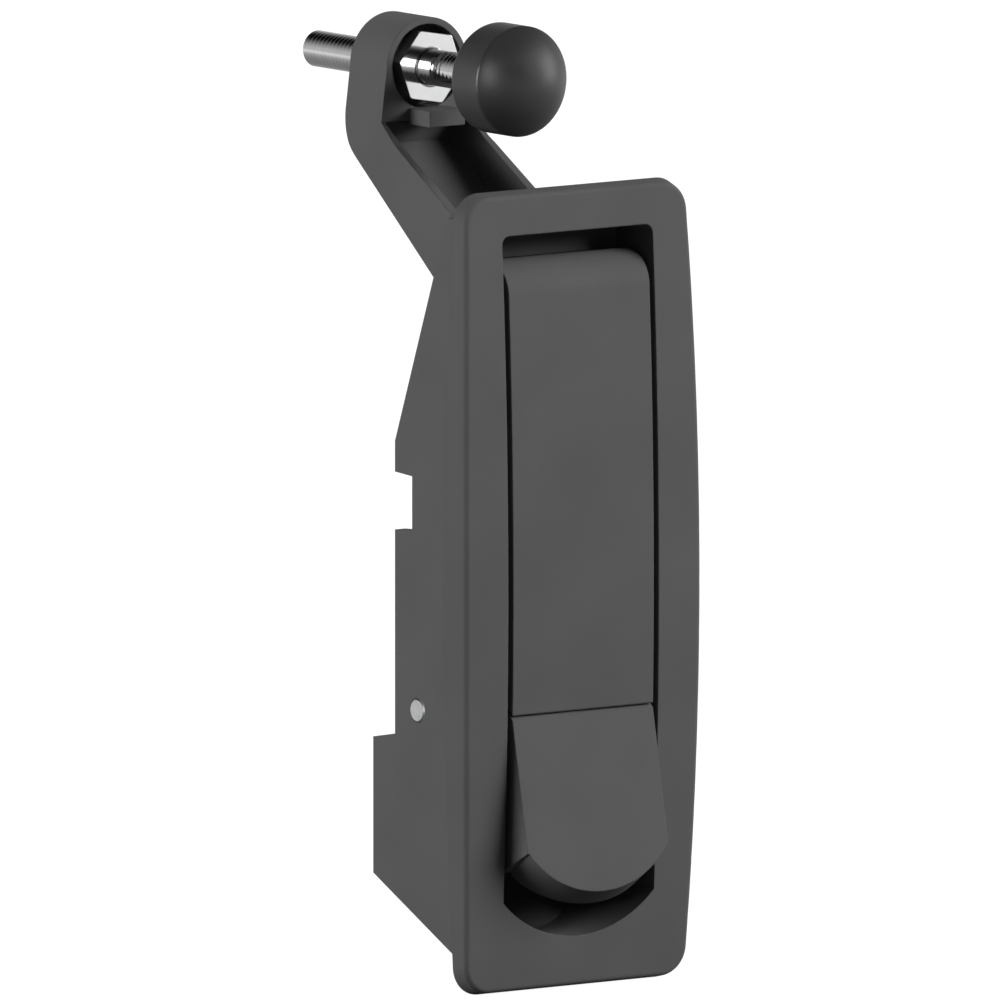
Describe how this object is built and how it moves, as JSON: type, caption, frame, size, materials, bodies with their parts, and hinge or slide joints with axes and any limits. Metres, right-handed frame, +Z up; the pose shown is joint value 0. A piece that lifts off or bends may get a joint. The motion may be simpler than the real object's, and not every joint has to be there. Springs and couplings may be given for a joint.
{
  "type": "compression latch",
  "caption": "Flush lever latch with a sprung trigger; its lever swings an arm whose rubber-tipped screw presses a door frame.",
  "frame": {"origin": "centre of the bezel's back face, which lies on the panel", "axes": "+X to the right seen from the front, +Y into the panel, +Z up towards the arm"},
  "size_m": [0.0488, 0.079, 0.1546],
  "materials": {
    "black_powder_coat": "satin powder coat",
    "plain_steel": "plain ground steel",
    "bright_zinc": "bright zinc plate",
    "black_rubber": "moulded, satin",
    "black_nylon": "moulded",
    "spring_steel": "drawn wire"
  },
  "bodies": {
    "housing": {"housing": "black_powder_coat", "pivot_pin": "plain_steel", "catch_pin": "plain_steel", "pivot_washers": "black_nylon"},
    "lever": {"lever": "black_powder_coat", "arm": "black_powder_coat", "arm_pin": "plain_steel", "trigger_pin": "plain_steel", "trigger_spring": "spring_steel"},
    "trigger": {"trigger": "black_powder_coat"},
    "jam_nut": {"jam_nut": "bright_zinc"},
    "adjusting_screw": {"adjusting_screw": "bright_zinc", "bumper": "black_rubber"}
  },
  "joints": [
    {"name": "lever_pivot", "type": "hinge", "parent": "housing", "child": "lever", "pos_m": [0, 0.0022, 0.048], "axis": [-1, 0, 0], "range_deg": [0, 75]},
    {"name": "trigger_pivot", "type": "hinge", "parent": "lever", "child": "trigger", "pos_m": [0, 0, -0.0245], "axis": [-1, 0, 0], "range_deg": [0, 20], "stiffness_Nm_per_rad": 0.03, "springref_deg": -28.65, "deforming": ["trigger_spring"]},
    {"name": "nut_turn", "type": "hinge", "parent": "lever", "child": "jam_nut", "pos_m": [0, 0.0395, 0.0806], "axis": [0, 1, 0], "continuous": true},
    {"name": "grip_adjust", "type": "slide", "parent": "lever", "child": "adjusting_screw", "axis": [0, 1, 0], "range_m": [-0.005, 0.012]}
  ]
}
